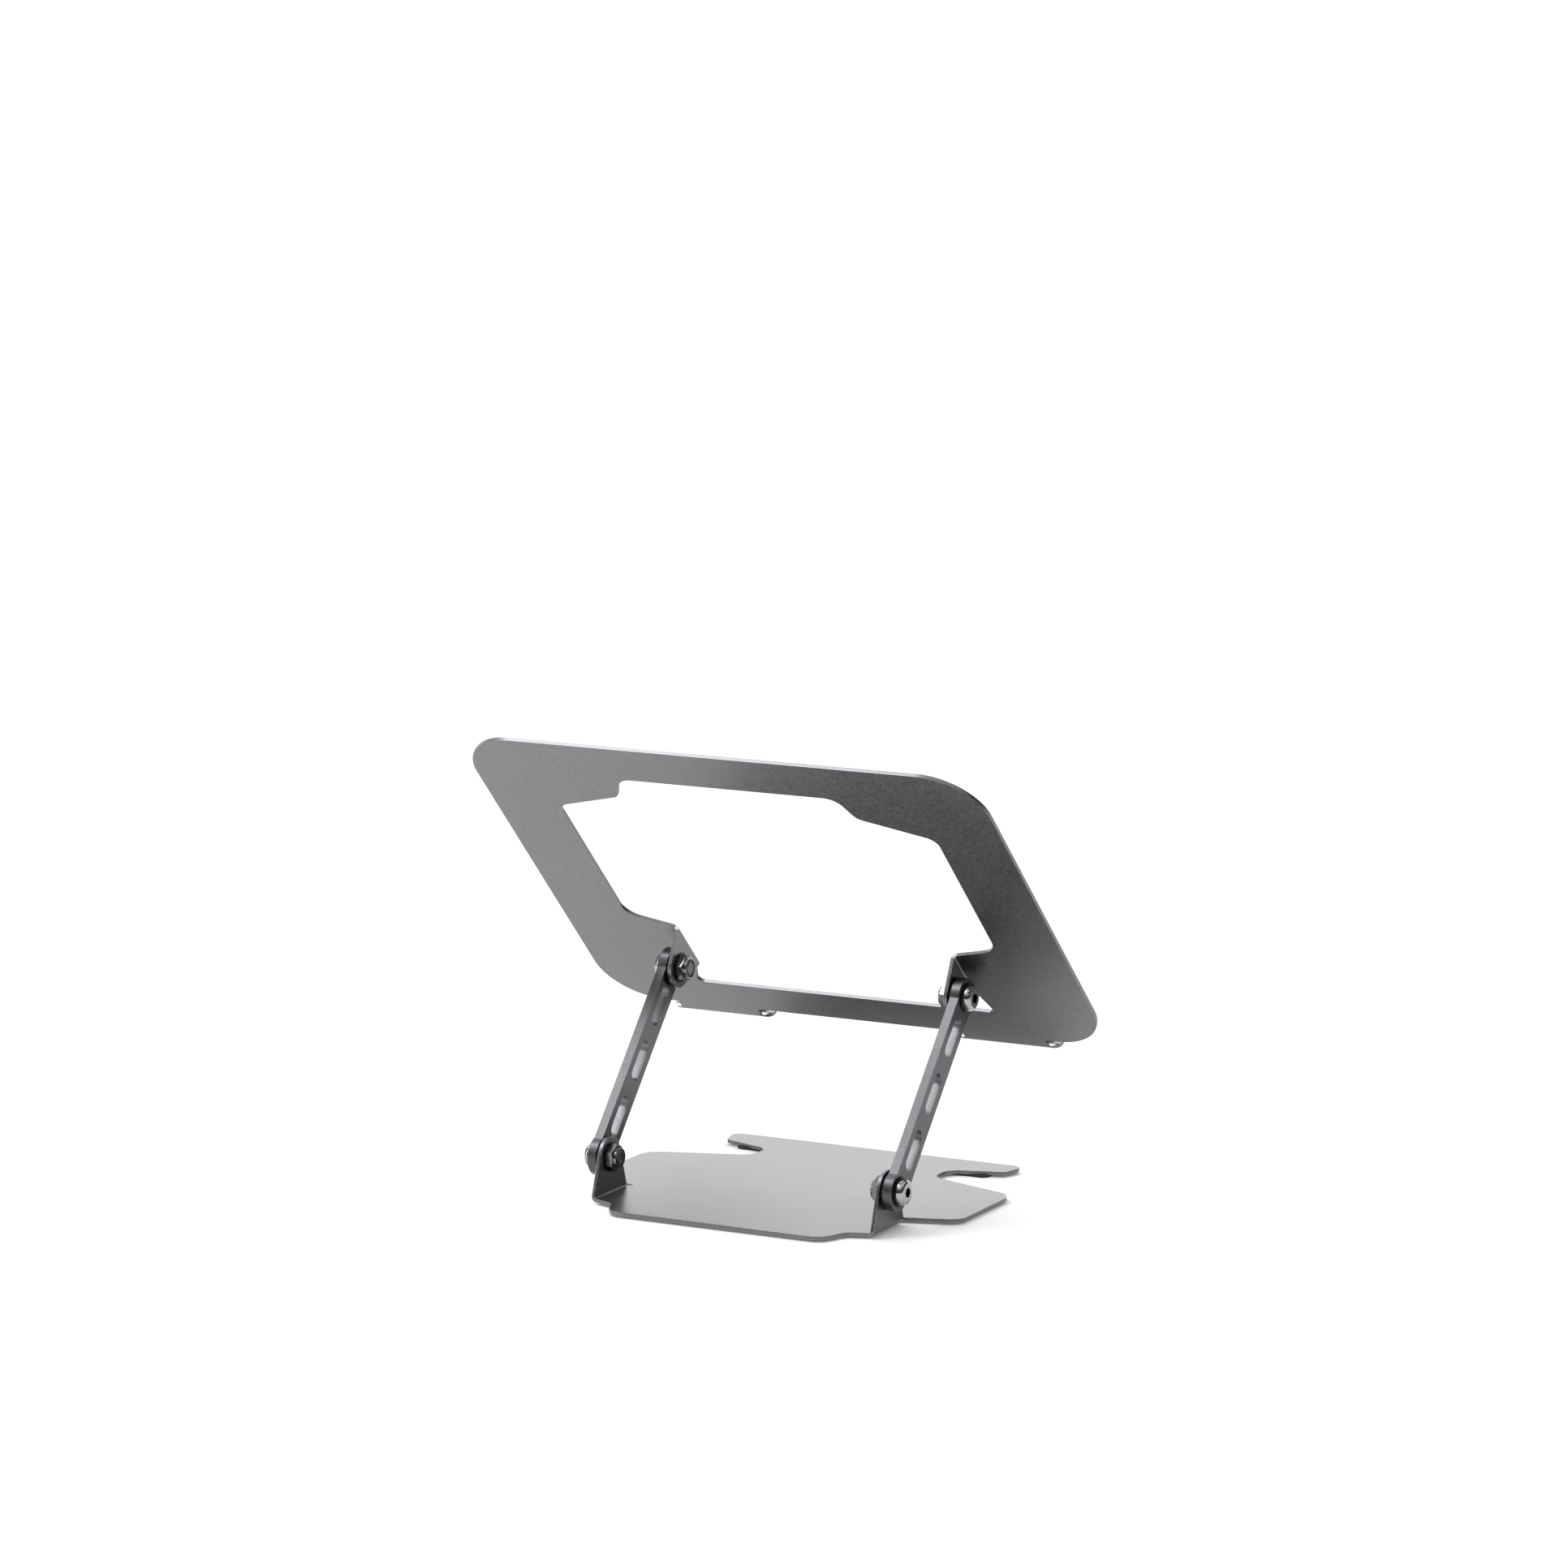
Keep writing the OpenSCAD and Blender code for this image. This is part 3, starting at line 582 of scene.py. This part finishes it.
scene = bpy.context.scene
scene.view_settings.view_transform = "Standard"
studio = bpy.data.worlds.new("soft studio")
scene.world = studio
studio.use_nodes = True
tree = studio.node_tree
tree.nodes.clear()
direction = add_node(studio, "TexCoord")
apart = add_node(studio, "SeparateXYZ", {"Vector": (direction, "Generated")})
overhead = add_node(studio, "MapRange", {"Value": (apart, "Z")}, interpolation_type="SMOOTHSTEP",
                    From_Min=0.35, From_Max=0.8, To_Min=0.09, To_Max=1.1)
way_to_wall = (0.458, -0.871, 0.177)
towards_wall = add_node(studio, "VectorMath", {0: (direction, "Generated")},
                        operation="DOT_PRODUCT", i1=way_to_wall)
wall = add_node(studio, "MapRange", {"Value": (towards_wall, "Value")},
                interpolation_type="SMOOTHSTEP", From_Min=0.45, From_Max=0.95, To_Min=0, To_Max=1.85)
light = add_node(studio, "Math", {0: (overhead, 0), 1: (wall, 0)}, operation="ADD")
walls = add_node(studio, "Background", {"Strength": (light, 0)})
white = add_node(studio, "Background", Strength=1.0)
seen = add_node(studio, "LightPath")
mixed = add_node(studio, "MixShader", {0: (seen, "Is Camera Ray"), 1: (walls, 0), 2: (white, 0)})
add_node(studio, "OutputWorld", {"Surface": (mixed, 0)})
walls.inputs["Color"].default_value = (1, 1, 1, 1)
white.inputs["Color"].default_value = (1, 1, 1, 1)


def softbox(name, watts, size, place, aim):
    """A rectangular soft light that faces a point."""
    light = bpy.data.lights.new(name, "AREA")
    light.shape = "RECTANGLE"
    light.size, light.size_y = size
    light.energy = watts
    lamp = bpy.data.objects.new(name, light)
    scene.collection.objects.link(lamp)
    lamp.visible_camera = False
    lamp.matrix_world = Matrix.Translation(place) @ (
        Vector(place) - Vector(aim)).to_track_quat("Z", "Y").to_matrix().to_4x4()


middle = (0, 0, 0.1)
softbox("left strip", 8, (0.3, 1.2), (1.6, 1.3, 0.7), middle)
softbox("top box", 13, (1.0, 0.6), (0.85, 0.55, 1.65), middle)

# The camera stands behind the stand, on the side of its right arm, a little above it
camera = bpy.data.cameras.new("camera")
camera.lens = 152.96
camera.sensor_width = 36
camera.clip_end = 100
eye = bpy.data.objects.new("camera", camera)
scene.collection.objects.link(eye)
right = Vector((-0.88535, -0.46493, -0.00211))
up = Vector((0.08036, -0.15751, 0.98424))
back = -Vector((0.45794, -0.87122, -0.17681))
eye.matrix_world = Matrix.Translation((-1.5960, 3.0505, 0.8384)) @ Matrix(
    (right, up, back)).transposed().to_4x4()
scene.camera = eye
